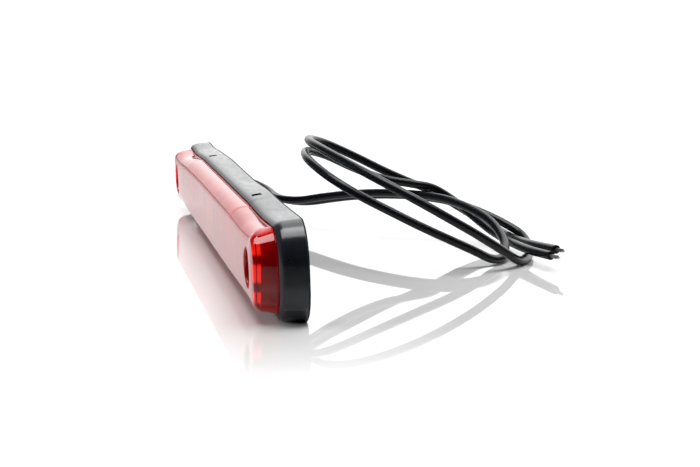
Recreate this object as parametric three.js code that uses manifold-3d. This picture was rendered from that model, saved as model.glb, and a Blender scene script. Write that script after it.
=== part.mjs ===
// Slim LED tail light for a trailer, standing on its long bottom edge.
// Millimetres, +Z up. X runs along the lamp, the lens faces -Y and the wires leave the back, +Y.
//
// The lamp is drawn upright in a frame of its own, with y = 0 at the seam between lens and
// housing and z = 0 at mid height. Its walls are drafted, so it is then leaned forward by the
// draft angle until the bottom wall lies flat on the ground. The two free wires are drawn
// directly in the ground frame.

import * as THREE from 'three';
import { mergeVertices } from 'three/addons/utils/BufferGeometryUtils.js';
import Module from 'manifold-3d';

// ---- driving dimensions ----
const LENGTH = 238;
const BACK_HEIGHT = 24.8;
const HOUSING_DEPTH = 7.1;
const DRAFT = THREE.MathUtils.degToRad( 2 );
const END_RADIUS = 10;
const BACK_WALL = 1.6;
const GAP = 0.3;

const RIM_FILLET = 1.15;
const RECESS_DEPTH = 2.6;
const LEDGE_WIDTH = 1.0;

const LENS_LENGTH = 229;
const LENS_HEIGHT = 20.8;
const LENS_DEPTH = 5.8;
const LENS_WALL = 1.6;
const LENS_CORNER = 8;
const END_FILLET = 5;
const SIDE_FILLET = 4;
const FILLET_DEPTH = 4;

const WELL_X = 101.8;
const WELL_RADIUS = 4.95;
const WELL_WALL = 1.3;
const SCREW_RADIUS = 2.3;
const BOSS_FRONT = 3.0;

const SLOT_X = 58;
const SLOT_SIZE = [ 0.5, 2.6, 0.7 ];
const SLOT_Y = 2.7;

const BOARD = { x: 186, z: 15, front: 1.6, thick: 1.2 };
const POTTING = { x: 186, z: 19, front: 3.1, back: 5.2 };
const LED_COUNT = 8;
const LED_PITCH = 23;

const WIRE_RADIUS = 1.25;
const WIRE_SIDES = 8;
const WIRE_STEPS = 42;
const OUTLET_X = - 90;
const WIRE_PITCH = 4;
const STRANDS_RADIUS = 0.55;
const STRANDS_LENGTH = 5;

const halfLength = LENGTH / 2;
const halfBack = BACK_HEIGHT / 2;
const drop = Math.tan( DRAFT );
const halfFront = halfBack - HOUSING_DEPTH * drop;

// ---- free wires: points on the centre line, in the ground frame ----
const ROUTE_1 = [
	[ - 92.0, 8.9, 12.5 ], [ - 91.6, 11.6, 12.4 ], [ - 89.4, 16.6, 11.8 ], [ - 84.8, 20.1, 10.6 ],
	[ - 78.2, 22.0, 9.7 ], [ - 67.0, 23.0, 9 ], [ - 56.4, 25.8, 8.7 ], [ - 48.0, 31.6, 9.1 ],
	[ - 40.6, 38.6, 10.9 ], [ - 33.6, 45.2, 12.4 ], [ - 25.2, 53.8, 13.6 ], [ - 15.2, 63.0, 14.0 ],
	[ - 6.0, 71.0, 13.2 ], [ 3.4, 78.8, 10.6 ], [ 8.8, 84.4, 7.8 ], [ 13.4, 88.0, 5.3 ],
	[ 19.4, 88.6, 3.0 ], [ 27.0, 86.8, 1.5 ], [ 35.0, 83.4, 1.35 ], [ 42.6, 78.6, 1.7 ],
	[ 48.2, 72.2, 5.6 ], [ 50.8, 63.5, 11.0 ], [ 50.5, 55.3, 15.8 ], [ 47.2, 46.6, 20.8 ],
	[ 40.2, 37.4, 25.9 ], [ 29.6, 30.0, 30.0 ], [ 15.0, 25.3, 32.8 ], [ 0, 24.1, 33.8 ],
	[ - 11.0, 26.2, 33.6 ], [ - 17.2, 32.2, 31.6 ], [ - 18.4, 41.4, 27.4 ], [ - 17.8, 51.4, 22.4 ],
	[ - 17.0, 59.4, 18.8 ], [ - 16.2, 67.0, 15.6 ], [ - 12.6, 75.2, 10.6 ], [ - 5.0, 81.4, 6.6 ],
	[ 5.0, 84.3, 4.8 ], [ 16.0, 85.0, 4.2 ], [ 33.0, 85.5, 4.9 ], [ 50.5, 87.3, 5.9 ],
];
const ROUTE_2 = [
	[ - 88.0, 8.9, 12.5 ], [ - 87.7, 11.1, 12.5 ], [ - 85.8, 15.0, 12.2 ], [ - 81.8, 17.8, 11.2 ],
	[ - 76.2, 19.0, 10.3 ], [ - 66.0, 19.9, 9.9 ], [ - 54.0, 23.0, 9.6 ], [ - 47.0, 28.0, 9.9 ],
	[ - 39.6, 35.0, 11.7 ], [ - 31.8, 42.8, 13.4 ], [ - 23.4, 51.6, 14.6 ], [ - 13.2, 61.0, 15.0 ],
	[ - 3.6, 68.8, 14.3 ], [ 4.6, 74.5, 12.2 ], [ 12.2, 78.2, 9.6 ], [ 20.4, 79.5, 6.5 ],
	[ 28.8, 78.6, 3.5 ], [ 35.8, 75.6, 1.6 ], [ 40.8, 70.8, 2.2 ], [ 43.2, 64.6, 5.2 ],
	[ 43.4, 57.4, 8.6 ], [ 41.6, 49.3, 12.4 ], [ 38.8, 41.0, 16.6 ], [ 35.4, 32.8, 20.9 ],
	[ 29.4, 25.6, 25.4 ], [ 18.0, 21.6, 29.0 ], [ 4.6, 21.9, 30.4 ], [ - 7.4, 25.0, 30.2 ],
	[ - 13.4, 31.4, 28.2 ], [ - 14.2, 40.8, 23.8 ], [ - 13.4, 50.4, 20.2 ], [ - 13.0, 58.8, 18.6 ],
	[ - 12.6, 66.0, 17.2 ], [ - 11.2, 72.2, 13.6 ], [ - 5.8, 77.8, 8.6 ], [ 5.0, 81.1, 5.1 ],
	[ 17.0, 82.2, 4.1 ], [ 29.0, 82.4, 4.05 ], [ 41.0, 83.1, 4.2 ], [ 53.2, 84.8, 4.6 ],
];

const finishes = {
	blackPlastic: { color: 0x1e2128, roughness: 0.45, metalness: 0 },
	redLens: { color: 0xb01018, roughness: 0.12, metalness: 0 },
	sealant: { color: 0x2a0a0c, roughness: 0.7, metalness: 0 },
	boardWhite: { color: 0xe8e6df, roughness: 0.55, metalness: 0 },
	ledBody: { color: 0xf2f0e8, roughness: 0.5, metalness: 0 },
	resistorBlack: { color: 0x16171a, roughness: 0.6, metalness: 0 },
	capacitorTan: { color: 0xa98a62, roughness: 0.5, metalness: 0 },
	solder: { color: 0xb9bcc0, roughness: 0.3, metalness: 1 },
	resin: { color: 0x101114, roughness: 0.35, metalness: 0 },
	rubber: { color: 0x17181a, roughness: 0.8, metalness: 0 },
	wireJacket: { color: 0x191b21, roughness: 0.4, metalness: 0 },
	tinnedCopper: { color: 0xc9c6c0, roughness: 0.35, metalness: 1 },
};

// ---- closed solids from stacked outlines ----

// Points of an arc about (cx, cz), counted from angle a to angle b in degrees.
function arc( cx, cz, r, a, b, steps ) {

	const points = [];
	for ( let i = 0; i <= steps; i ++ ) {

		const t = THREE.MathUtils.degToRad( a + ( b - a ) * i / steps );
		points.push( [ cx + r * Math.cos( t ), cz + r * Math.sin( t ) ] );

	}

	return points;

}

// Outline in the x-z plane: two straight long sides and four corner arcs. Where sweep is under
// 90 degrees the arcs meet the long sides at a crisp edge.
function outline( a, b, r, sweep = 90, steps = 8 ) {

	const cx = a - r;
	const cz = b - r * Math.sin( THREE.MathUtils.degToRad( sweep ) );
	return [
		...arc( cx, - cz, r, - sweep, 0, steps ),
		...arc( cx, cz, r, 0, sweep, steps ),
		...arc( - cx, cz, r, 180 - sweep, 180, steps ),
		...arc( - cx, - cz, r, 180, 180 + sweep, steps ),
	];

}

// Closed body through rings of equal point count. Each ring is { y, points }.
function loft( rings ) {

	const n = rings[ 0 ].points.length;
	const positions = [];
	const index = [];
	for ( const ring of rings ) {

		for ( const [ x, z ] of ring.points ) positions.push( x, ring.y, z );

	}

	for ( let k = 0; k < rings.length - 1; k ++ ) {

		for ( let i = 0; i < n; i ++ ) {

			const j = ( i + 1 ) % n;
			const a = k * n + i;
			const b = k * n + j;
			index.push( a, a + n, b, b, a + n, b + n );

		}

	}

	const first = positions.length / 3;
	positions.push( 0, rings[ 0 ].y, 0 );
	positions.push( 0, rings.at( - 1 ).y, 0 );
	const top = ( rings.length - 1 ) * n;
	for ( let i = 0; i < n; i ++ ) {

		const j = ( i + 1 ) % n;
		index.push( first, i, j );
		index.push( first + 1, top + j, top + i );

	}

	const geometry = new THREE.BufferGeometry();
	geometry.setAttribute( 'position', new THREE.Float32BufferAttribute( positions, 3 ) );
	geometry.setIndex( index );
	return geometry;

}

function prism( points, y0, y1 ) {

	return loft( [ { y: y0, points }, { y: y1, points } ] );

}

function cylinder( r, y0, y1, x = 0, z = 0, sides = 32 ) {

	return new THREE.CylinderGeometry( r, r, y1 - y0, sides ).translate( x, ( y0 + y1 ) / 2, z );

}

function box( sx, sy, sz, x, y, z ) {

	return new THREE.BoxGeometry( sx, sy, sz ).translate( x, y, z );

}

// ---- joins and cuts ----
const wasm = await Module();
wasm.setup();

function solid( geometry ) {

	const bare = geometry.clone();
	bare.deleteAttribute( 'normal' );
	bare.deleteAttribute( 'uv' );
	const merged = mergeVertices( bare, 1e-4 );
	return new wasm.Manifold( new wasm.Mesh( {
		numProp: 3,
		vertProperties: new Float32Array( merged.attributes.position.array ),
		triVerts: new Uint32Array( merged.index.array ),
	} ) );

}

function join( first, ...others ) {

	return others.reduce( ( whole, g ) => whole.add( solid( g ) ), first );

}

function cut( first, ...others ) {

	return others.reduce( ( whole, g ) => whole.subtract( solid( g ) ), first );

}

function shape( manifold ) {

	const mesh = manifold.getMesh();
	const geometry = new THREE.BufferGeometry();
	geometry.setAttribute( 'position', new THREE.BufferAttribute( mesh.vertProperties, 3 ) );
	geometry.setIndex( new THREE.BufferAttribute( mesh.triVerts, 1 ) );
	return geometry;

}

// ---- outlines shared by mating pieces ----
const HOUSING_SWEEP = 80;
const recess = ( inset ) => outline( halfLength - 1.5 - inset, 11 - inset, 9 - inset );
const cavity = () => recess( LEDGE_WIDTH );

function housingOutline( y, inset = 0 ) {

	const draft = ( HOUSING_DEPTH - y ) * drop;
	return outline( halfLength - draft - inset, halfBack - draft - inset,
		END_RADIUS - inset, HOUSING_SWEEP );

}

function wellX( side ) {

	return side * WELL_X;

}

// ---- housing: drafted tray with a rounded front rim, a ledge for the lens and two bosses ----
function housing() {

	const rings = [];
	for ( const t of [ 0, 30, 60, 90 ] ) {

		const a = THREE.MathUtils.degToRad( t );
		const y = RIM_FILLET * ( 1 - Math.sin( a ) );
		rings.push( { y, points: housingOutline( y, RIM_FILLET * ( 1 - Math.cos( a ) ) ) } );

	}

	rings.reverse();
	rings.push( { y: HOUSING_DEPTH, points: housingOutline( HOUSING_DEPTH ) } );
	let body = solid( loft( rings ) );
	body = cut( body, prism( recess( 0 ), - 1, RECESS_DEPTH ) );
	body = cut( body, prism( cavity(), - 1, HOUSING_DEPTH - BACK_WALL ) );
	for ( const side of [ - 1, 1 ] ) {

		const x = wellX( side );
		body = join( body, cylinder( WELL_RADIUS + WELL_WALL, BOSS_FRONT, HOUSING_DEPTH - 0.5, x ) );
		body = cut( body, cylinder( SCREW_RADIUS, - 1, HOUSING_DEPTH + 1, x, 0, 24 ) );
		const [ sx, sy, sz ] = SLOT_SIZE;
		const wall = halfBack - ( HOUSING_DEPTH - SLOT_Y ) * drop;
		body = cut( body, box( sx, sy, sz * 2, side * SLOT_X, SLOT_Y, wall ) );
		body = cut( body, box( sx, sy, sz * 2, side * SLOT_X, SLOT_Y, - wall ) );

	}

	const slot = outline( 4.6, 2.7, 2.7, 90, 5 );
	const outlet = prism( slot, HOUSING_DEPTH - BACK_WALL - 1, HOUSING_DEPTH + 1 );
	return shape( cut( body, outlet.translate( OUTLET_X, 0, 0 ) ) );

}

// ---- lens: loaf-shaped cap with a flange and two screw wells ----
function loafRings( inset, front, back ) {

	const rings = [ { y: back, points: lensOutline( inset, 0 ) } ];
	for ( const t of [ 0, 18, 36, 54, 72, 90 ] ) {

		const a = THREE.MathUtils.degToRad( t );
		const depth = FILLET_DEPTH - inset * 0.6;
		rings.push( { y: front + depth * ( 1 - Math.sin( a ) ), points: lensOutline( inset, 1 - Math.cos( a ) ) } );

	}

	return rings.reverse();

}

function lensOutline( inset, turn ) {

	const scale = 1 - inset / SIDE_FILLET / 2;
	return outline(
		LENS_LENGTH / 2 - inset - END_FILLET * turn * scale,
		LENS_HEIGHT / 2 - inset - SIDE_FILLET * turn * scale,
		LENS_CORNER - inset - SIDE_FILLET * turn * scale, 90, 6 );

}

function lens() {

	const flangeBack = 1.3;
	let body = solid( loft( loafRings( 0, - LENS_DEPTH, 0.4 ) ) );
	body = join( body, prism( recess( GAP ), - 0.1, flangeBack ) );
	body = cut( body, loft( loafRings( LENS_WALL, - LENS_DEPTH + LENS_WALL, flangeBack + 1 ) ) );
	for ( const side of [ - 1, 1 ] ) {

		const x = wellX( side );
		const mouth = - LENS_DEPTH - 1;
		body = join( body, cylinder( WELL_RADIUS + WELL_WALL, - LENS_DEPTH + 0.5, BOSS_FRONT - GAP, x ) );
		body = cut( body, cylinder( WELL_RADIUS, mouth, BOSS_FRONT, x ) );

	}

	return shape( body );

}

// ---- sealant bead between the lens flange and the ledge ----
function lensSeal() {

	const front = 1.3 + GAP;
	const back = RECESS_DEPTH - GAP;
	const inner = prism( recess( LEDGE_WIDTH - 0.1 ), front - 1, back + 1 );
	return shape( cut( solid( prism( recess( GAP ), front, back ) ), inner ) );

}

// ---- electronics ----
function circuitBoard() {

	return box( BOARD.x, BOARD.thick, BOARD.z, 0, BOARD.front + BOARD.thick / 2, 0 );

}

const ledBack = BOARD.front - GAP;

function led() {

	const base = solid( box( 3.6, 1.2, 3.6, 0, ledBack - 0.6, 0 ) );
	const dome = new THREE.SphereGeometry( 1.3, 14, 8 ).translate( 0, ledBack - 1.1, 0 );
	return shape( join( base, dome ) );

}

function chip( sx, sz, height ) {

	return box( sx, height, sz, 0, ledBack - height / 2, 0 );

}

function solderJoint() {

	const points = [ [ 0, 0 ], [ 1.1, 0 ], [ 1.0, 0.3 ], [ 0.5, 0.75 ], [ 0, 0.9 ] ];
	const profile = points.map( ( [ r, h ] ) => new THREE.Vector2( r, h ) );
	return new THREE.LatheGeometry( profile, 12 ).rotateX( Math.PI ).translate( 0, ledBack, 0 );

}

function pottingCompound() {

	const block = box( POTTING.x, POTTING.back - POTTING.front, POTTING.z, 0,
		( POTTING.back + POTTING.front ) / 2, 0 );
	const room = box( 12.4, 6, 8.2, OUTLET_X, POTTING.front + 1, 0 );
	return shape( cut( solid( block ), room ) );

}

// ---- rubber outlet bush: inner lip, neck through the wall and a tapered nose ----
const NOSE_TIP = HOUSING_DEPTH + 4;
const NOSE_HALF_HEIGHT = 2.3;

function wireGrommet() {

	const lip = outline( 5.2, 3.5, 3.5, 90, 5 );
	const neck = outline( 4.3, 2.4, 2.4, 90, 5 );
	const back = HOUSING_DEPTH + GAP;
	let body = solid( loft( [
		{ y: 3.9, points: lip },
		{ y: HOUSING_DEPTH - BACK_WALL - GAP, points: lip },
	] ) );
	body = join( body,
		prism( neck, 4.5, back + 0.4 ),
		loft( [
			{ y: back, points: lip },
			{ y: back + 0.8, points: lip },
			{ y: NOSE_TIP, points: outline( 4.4, NOSE_HALF_HEIGHT, NOSE_HALF_HEIGHT, 90, 5 ) },
		] ) );
	for ( const side of [ - 1, 1 ] ) {

		const hole = cylinder( WIRE_RADIUS + GAP, 0, NOSE_TIP + 2, side * WIRE_PITCH / 2, 0, 16 );
		body = cut( body, hole );

	}

	return shape( body );

}

function leadIn( side ) {

	const front = BOARD.front + BOARD.thick + GAP;
	return cylinder( WIRE_RADIUS, front, NOSE_TIP, OUTLET_X + side * WIRE_PITCH / 2, 0, 12 );

}

// ---- free wires ----
function tubeAlong( curve, radius, sides, steps ) {

	const section = new THREE.Shape( arc( 0, 0, radius, 0, 360, sides )
		.slice( 0, - 1 ).map( ( [ x, y ] ) => new THREE.Vector2( x, y ) ) );
	return new THREE.ExtrudeGeometry( section, { steps, extrudePath: curve } );

}

function wire( route ) {

	const points = route.map( ( p ) => new THREE.Vector3( ...p ) );
	const curve = new THREE.CatmullRomCurve3( points, false, 'centripetal' );
	curve.arcLengthDivisions = 1200;
	return tubeAlong( curve, WIRE_RADIUS, WIRE_SIDES, WIRE_STEPS );

}

function conductor( route ) {

	const end = new THREE.Vector3( ...route.at( - 1 ) );
	const along = end.clone().sub( new THREE.Vector3( ...route.at( - 2 ) ) ).normalize();
	const from = end.clone().addScaledVector( along, GAP );
	const to = end.clone().addScaledVector( along, STRANDS_LENGTH );
	return tubeAlong( new THREE.LineCurve3( from, to ), STRANDS_RADIUS, WIRE_SIDES, 1 );

}

// ---- assembly ----
const object = new THREE.Group();
const lamp = new THREE.Group();
object.add( lamp );

function add( parent, name, geometry, finish, x = 0, z = 0 ) {

	const mesh = new THREE.Mesh( geometry, new THREE.MeshStandardMaterial( finishes[ finish ] ) );
	mesh.name = name;
	mesh.position.set( x, 0, z );
	parent.add( mesh );

}

add( lamp, 'housing', housing(), 'blackPlastic' );
add( lamp, 'lens', lens(), 'redLens' );
add( lamp, 'lens_seal', lensSeal(), 'sealant' );
add( lamp, 'circuit_board', circuitBoard(), 'boardWhite' );
add( lamp, 'potting_compound', pottingCompound(), 'resin' );
add( lamp, 'wire_grommet', wireGrommet(), 'rubber', OUTLET_X );

for ( let i = 0; i < LED_COUNT; i ++ ) {

	const x = ( i - ( LED_COUNT - 1 ) / 2 ) * LED_PITCH;
	add( lamp, `led_${ i + 1 }`, led(), 'ledBody', x );

}

for ( let i = 0; i < 4; i ++ ) {

	const x = ( i - 1.5 ) * 2 * LED_PITCH;
	add( lamp, `resistor_${ i + 1 }`, chip( 3.2, 1.6, 0.7 ), 'resistorBlack', x );

}

add( lamp, 'reverse_diode', chip( 4.4, 2.6, 1.6 ), 'resistorBlack', - 86.5, 4.6 );
add( lamp, 'current_regulator', chip( 4.6, 4.2, 1.6 ), 'resistorBlack', - 86.8, - 4.6 );
add( lamp, 'filter_capacitor', chip( 2.0, 1.3, 1.2 ), 'capacitorTan', - 73.5, 4.6 );

for ( const [ i, side ] of [ - 1, 1 ].entries() ) {

	const x = OUTLET_X + side * WIRE_PITCH / 2;
	add( lamp, `solder_joint_${ i + 1 }`, solderJoint(), 'solder', x );
	add( lamp, `lead_in_${ i + 1 }`, leadIn( side ), 'wireJacket' );

}

for ( const [ i, route ] of [ ROUTE_1, ROUTE_2 ].entries() ) {

	add( object, `wire_${ i + 1 }`, wire( route ), 'wireJacket' );
	add( object, `conductor_${ i + 1 }`, conductor( route ), 'tinnedCopper' );

}

// Lean the lamp onto its bottom wall, and centre lens, housing and bush front to back.
const backReach = NOSE_TIP * Math.cos( DRAFT ) + NOSE_HALF_HEIGHT * Math.sin( DRAFT );
const flatHeight = LENS_HEIGHT / 2 - SIDE_FILLET;
const frontReach = LENS_DEPTH * Math.cos( DRAFT ) + flatHeight * Math.sin( DRAFT );
lamp.rotation.x = DRAFT;
lamp.position.set( 0, ( frontReach - backReach ) / 2, halfFront * Math.cos( DRAFT ) );

export default object;
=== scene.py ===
# %% [markdown]
# # A slim red trailer tail light with its loose supply wires
#
# The lamp stands on its long bottom wall on a glossy white surface, seen from near one end.
# A black moulded tray holds a transparent red cap, and two thin wires leave the back, make one
# open loop together and end in bare twisted strands. The CAD model gives the frame, and this
# file gives each visible piece its fine shape and its finish.

# %% Load the frame
import math

import bpy
import numpy as np
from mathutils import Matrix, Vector


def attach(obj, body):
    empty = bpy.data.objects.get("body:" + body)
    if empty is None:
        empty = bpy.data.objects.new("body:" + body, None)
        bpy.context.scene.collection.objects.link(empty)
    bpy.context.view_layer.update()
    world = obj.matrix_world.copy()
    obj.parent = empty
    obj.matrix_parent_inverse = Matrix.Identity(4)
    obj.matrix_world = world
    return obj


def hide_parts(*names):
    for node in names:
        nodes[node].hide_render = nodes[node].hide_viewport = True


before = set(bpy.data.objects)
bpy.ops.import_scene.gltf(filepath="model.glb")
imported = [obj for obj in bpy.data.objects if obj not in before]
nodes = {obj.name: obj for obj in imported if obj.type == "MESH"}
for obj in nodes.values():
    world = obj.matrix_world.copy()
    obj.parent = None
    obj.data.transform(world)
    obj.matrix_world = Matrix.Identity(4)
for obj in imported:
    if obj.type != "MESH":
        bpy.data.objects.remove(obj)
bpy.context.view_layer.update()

# %% [markdown]
# ## The camera
#
# A long lens looks almost along the lamp from a little above it. The heading, the pitch and the
# focal length are what make the near end large and the far end small, so they come first.

# %% Camera
CAMERA_PLACE = (0.47043, -0.05328, 0.07371)
CAMERA_PITCH = 0.1430
CAMERA_HEADING = 0.1890
LENS_MM = 79.517

camera_data = bpy.data.cameras.new("camera")
camera_data.lens = LENS_MM
camera_data.sensor_width = 36.0
camera_data.clip_start = 0.01
camera = bpy.data.objects.new("camera", camera_data)
camera.location = CAMERA_PLACE
camera.rotation_euler = (math.pi / 2 - CAMERA_PITCH, 0.0, math.pi / 2 - CAMERA_HEADING)
bpy.context.scene.collection.objects.link(camera)
bpy.context.scene.camera = camera
print("camera at", CAMERA_PLACE)

# %% [markdown]
# ## Helpers: a grid of points becomes a mesh
#
# Every new piece is a surface worked out as one numpy array of rows and columns. Neighbouring
# points make quads. If the faces come out pointing inwards the whole set is turned round, which
# the sign of the enclosed volume shows.

# %% Grid to mesh
MM = 0.001


def grid_faces(rows, cols, wrap_cols=True, wrap_rows=False):
    """Quads between neighbouring grid points; wrap joins the last row or column to the first."""
    r = np.arange(rows if wrap_rows else rows - 1)[:, None]
    c = np.arange(cols if wrap_cols else cols - 1)[None, :]
    r2, c2 = (r + 1) % rows, (c + 1) % cols
    quads = np.stack(np.broadcast_arrays(r * cols + c, r * cols + c2, r2 * cols + c2,
                                         r2 * cols + c), axis=-1)
    return quads.reshape(-1, 4)


def enclosed_volume(points, quads):
    """Sum of signed tetrahedra from the middle of the piece to each quad's two triangles."""
    p = points - points.mean(axis=0)
    a, b, c, d = (p[quads[:, i]] for i in range(4))
    return (np.einsum("ij,ij->i", a, np.cross(b, c)).sum()
            + np.einsum("ij,ij->i", a, np.cross(c, d)).sum()) / 6


def make_piece(name, points, quads, caps=(), smooth_angle=35.0):
    """One mesh object at the origin from metre points, quads and flat end caps (index loops)."""
    if enclosed_volume(points, quads) < 0:
        quads = quads[:, ::-1]
        caps = [cap[::-1] for cap in caps]
    mesh = bpy.data.meshes.new(name)
    mesh.from_pydata(points.tolist(), [], quads.tolist() + [list(map(int, c)) for c in caps])
    mesh.validate()
    piece = bpy.data.objects.new(name, mesh)
    bpy.context.scene.collection.objects.link(piece)
    mesh.shade_smooth()
    mesh.set_sharp_from_angle(angle=math.radians(smooth_angle))
    print(f"{name}: {len(mesh.polygons)} faces")
    return piece


def lofted(name, grid, smooth_angle=35.0, closed_ends=True):
    """A closed piece from rings stacked as rows, its first and last ring closed by flat caps."""
    rows, cols, _ = grid.shape
    points = grid.reshape(-1, 3)
    caps = []
    if closed_ends:
        caps = [np.arange(cols)[::-1], (rows - 1) * cols + np.arange(cols)]
    return make_piece(name, points, grid_faces(rows, cols), caps, smooth_angle)


# %% [markdown]
# ## Helpers: materials
#
# Colours are written as the sRGB hex values that the eye would name, and one function turns them
# into the linear numbers that a shader works in. A second small function adds any node together
# with its settings and its links.

# %% Colour and node helpers
MULTIPLY = {"operation": "MULTIPLY"}
LARGER = {"operation": "MAXIMUM"}


def srgb(hex_code):
    """sRGB hex to linear RGBA: the usual piecewise curve, near a power of 2.4."""
    s = np.array([int(hex_code[i:i + 2], 16) for i in (1, 3, 5)]) / 255
    linear = np.where(s <= 0.04045, s / 12.92, ((s + 0.055) / 1.055) ** 2.4)
    return (*linear.tolist(), 1.0)


def add_node(tree, kind, settings=None, links=None, values=None, stops=()):
    """Adds a node, sets its properties and socket values, links sockets from other nodes, and
    gives a colour ramp its (position, rgba) stops."""
    node = tree.nodes.new(kind)
    for key, value in (settings or {}).items():
        setattr(node, key, value)
    for key, value in (values or {}).items():
        node.inputs[key].default_value = value
    for key, source in (links or {}).items():
        tree.links.new(source, node.inputs[key])
    for index, (position, colour) in enumerate(stops):
        elements = node.color_ramp.elements
        element = elements[index] if index < len(elements) else elements.new(1.0)
        element.position = position
        element.color = colour
    return node


def new_material(name, values):
    """A Principled material; values go on the shader's own sockets."""
    material = bpy.data.materials.new(name)
    material.use_nodes = True
    shader = material.node_tree.nodes["Principled BSDF"]
    for key, value in values.items():
        shader.inputs[key].default_value = value
    return material, material.node_tree, shader


def object_coords(tree):
    return add_node(tree, "ShaderNodeTexCoord").outputs["Object"]


def noise(tree, vector, scale_mm, detail=3.0, stretch=(1, 1, 1)):
    """Noise whose blotches are about scale_mm across, stretched along the given axes."""
    pulled = add_node(tree, "ShaderNodeMapping", links={"Vector": vector},
                      values={"Scale": stretch})
    return add_node(tree, "ShaderNodeTexNoise", links={"Vector": pulled.outputs["Vector"]},
                    values={"Scale": 1 / (scale_mm * MM), "Detail": detail}).outputs["Fac"]


def grey(value):
    return (value, value, value, 1.0)


def steps(tree, value, low_mm, high_mm, edges):
    """Bright between each pair of edges and dark elsewhere; edges are shares of the range."""
    share = add_node(tree, "ShaderNodeMapRange", links={"Value": value},
                     values={"From Min": low_mm * MM, "From Max": high_mm * MM})
    stops = [(0.0, grey(0.0))]
    for k, edge in enumerate(edges):
        stops += [(edge - 0.015, grey(float(k % 2))), (edge + 0.015, grey(float(1 - k % 2)))]
    return add_node(tree, "ShaderNodeValToRGB", links={"Fac": share.outputs["Result"]},
                    stops=stops).outputs["Color"]


def fade(tree, value, start, stop):
    """Smooth ramp from 1 at start to 0 at stop."""
    return add_node(tree, "ShaderNodeMapRange", links={"Value": value},
                    settings={"interpolation_type": "SMOOTHSTEP"},
                    values={"From Min": start, "From Max": stop, "To Min": 1.0, "To Max": 0.0}
                    ).outputs["Result"]


def finish_with(piece, material):
    piece.data.materials.clear()
    piece.data.materials.append(material)


# %% [markdown]
# ## The two supply wires
#
# Single-core automotive wire, 2.6 mm over its PVC jacket. It is springy enough to keep the shape
# it was packed in, so the loop leans up at the lamp side and lies on the ground at the far fold.
# A smooth curve runs through the same route points as the CAD solid, and a round section is
# carried along it on a frame that turns as little as possible, so the jacket doesn't twist.

# %% Wire routes
WIRE_DIAMETER = 2.6
ROUTE_1 = [
    (-92.0, 8.9, 12.5), (-91.6, 11.6, 12.4), (-89.4, 16.6, 11.8), (-84.8, 20.1, 10.6),
    (-78.2, 22.0, 9.7), (-67.0, 23.0, 9), (-56.4, 25.8, 8.7), (-48.0, 31.6, 9.1),
    (-40.6, 38.6, 10.9), (-33.6, 45.2, 12.4), (-25.2, 53.8, 13.6), (-15.2, 63.0, 14),
    (-6.0, 71.0, 13.2), (3.4, 78.8, 10.6), (8.8, 84.4, 7.8), (13.4, 88.0, 5.3),
    (19.4, 88.6, 3.0), (27.0, 86.8, 1.5), (35.0, 83.4, 1.35), (42.6, 78.6, 1.7),
    (48.2, 72.2, 5.6), (50.8, 63.5, 11.0), (50.5, 55.3, 15.8), (47.2, 46.6, 20.8),
    (40.2, 37.4, 25.9), (29.6, 30.0, 30.0), (15.0, 25.3, 32.8), (0.0, 24.1, 33.8),
    (-11.0, 26.2, 33.6), (-17.2, 32.2, 31.6), (-18.4, 41.4, 27.4), (-17.8, 51.4, 22.4),
    (-17.0, 59.4, 18.8), (-16.2, 67.0, 15.6), (-12.6, 75.2, 10.6), (-5.0, 81.4, 6.6),
    (5.0, 84.3, 4.8), (16.0, 85.0, 4.2), (33.0, 85.5, 4.9), (50.5, 87.3, 5.9),
]
ROUTE_2 = [
    (-88.0, 8.9, 12.5), (-87.7, 11.1, 12.5), (-85.8, 15.0, 12.2), (-81.8, 17.8, 11.2),
    (-76.2, 19.0, 10.3), (-66.0, 19.9, 9.9), (-54.0, 23.0, 9.6), (-47.0, 28.0, 9.9),
    (-39.6, 35.0, 11.7), (-31.8, 42.8, 13.4), (-23.4, 51.6, 14.6), (-13.2, 61.0, 15),
    (-3.6, 68.8, 14.3), (4.6, 74.5, 12.2), (12.2, 78.2, 9.6), (20.4, 79.5, 6.5),
    (28.8, 78.6, 3.5), (35.8, 75.6, 1.6), (40.8, 70.8, 2.2), (43.2, 64.6, 5.2),
    (43.4, 57.4, 8.6), (41.6, 49.3, 12.4), (38.8, 41.0, 16.6), (35.4, 32.8, 20.9),
    (29.4, 25.6, 25.4), (18.0, 21.6, 29.0), (4.6, 21.9, 30.4), (-7.4, 25.0, 30.2),
    (-13.4, 31.4, 28.2), (-14.2, 40.8, 23.8), (-13.4, 50.4, 20.2), (-13.0, 58.8, 18.6),
    (-12.6, 66.0, 17.2), (-11.2, 72.2, 13.6), (-5.8, 77.8, 8.6), (5.0, 81.1, 5.1),
    (17.0, 82.2, 4.1), (29.0, 82.4, 4.05), (41.0, 83.1, 4.2), (53.2, 84.8, 4.6),
]


def smooth_route(points, per_span=14):
    """Centripetal Catmull-Rom: each span is a cubic whose end slopes come from its neighbours,
    with spans timed by the square root of their length."""
    p = np.array(points, float)
    p = np.vstack([2 * p[0] - p[1], p, 2 * p[-1] - p[-2]])
    step = np.sqrt(np.linalg.norm(np.diff(p, axis=0), axis=1))[:, None]
    d0, d1, d2 = step[:-2], step[1:-1], step[2:]
    p0, p1, p2, p3 = p[:-3], p[1:-2], p[2:-1], p[3:]
    slope1 = ((p1 - p0) / d0 - (p2 - p0) / (d0 + d1) + (p2 - p1) / d1) * d1
    slope2 = ((p2 - p1) / d1 - (p3 - p1) / (d1 + d2) + (p3 - p2) / d2) * d1
    t = (np.arange(per_span) / per_span)[None, :, None]
    curve = ((2 * t**3 - 3 * t**2 + 1) * p1[:, None] + (t**3 - 2 * t**2 + t) * slope1[:, None]
             + (-2 * t**3 + 3 * t**2) * p2[:, None] + (t**3 - t**2) * slope2[:, None])
    return np.vstack([curve.reshape(-1, 3), p[-2]])


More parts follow.
